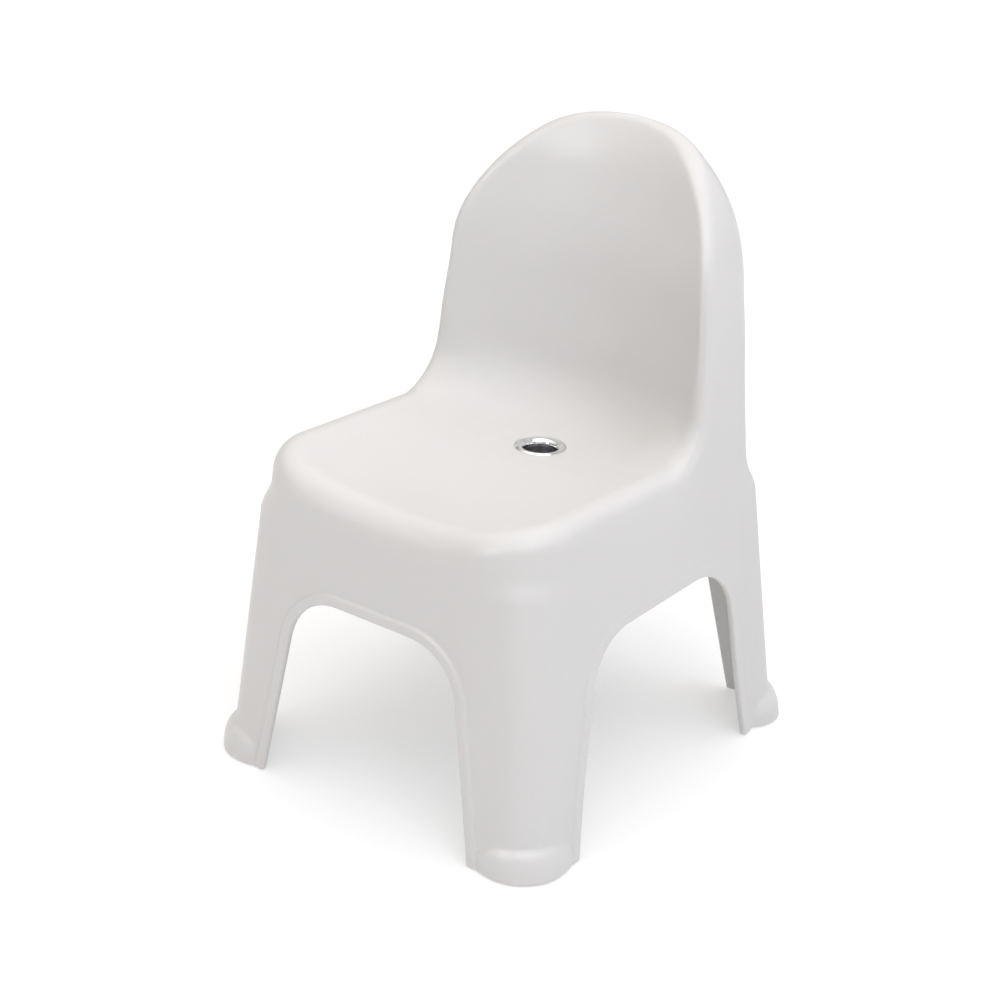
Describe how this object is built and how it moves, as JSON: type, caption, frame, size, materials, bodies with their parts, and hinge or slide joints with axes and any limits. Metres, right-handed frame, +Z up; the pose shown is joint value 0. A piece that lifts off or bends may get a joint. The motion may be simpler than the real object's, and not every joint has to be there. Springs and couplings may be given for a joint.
{
  "type": "toddler chair",
  "caption": "Low one-piece moulded toddler's chair: dished seat with a chromed drain ring, hollow arched backrest, and splayed hollow legs with soft toe pads.",
  "frame": {"origin": "on the floor, under the middle of the bounding box", "axes": "+Z up, the seat's front faces -Y, the backrest is at +Y, +X is the right of someone facing +Y"},
  "size_m": [0.263, 0.2799, 0.3786],
  "materials": {
    "plastic": "satin, faintly grained moulded polypropylene, warm white",
    "chrome": "polished plating",
    "steel": "plain zinc-plated pressing",
    "rubber": "matt, off-white"
  },
  "bodies": {
    "root": {"moulded_shell": "plastic", "drain_ring": "chrome", "ring_retainer": "steel", "foot_pad_front_left": "rubber", "foot_pad_front_right": "rubber", "foot_pad_rear_left": "rubber", "foot_pad_rear_right": "rubber"}
  },
  "joints": []
}
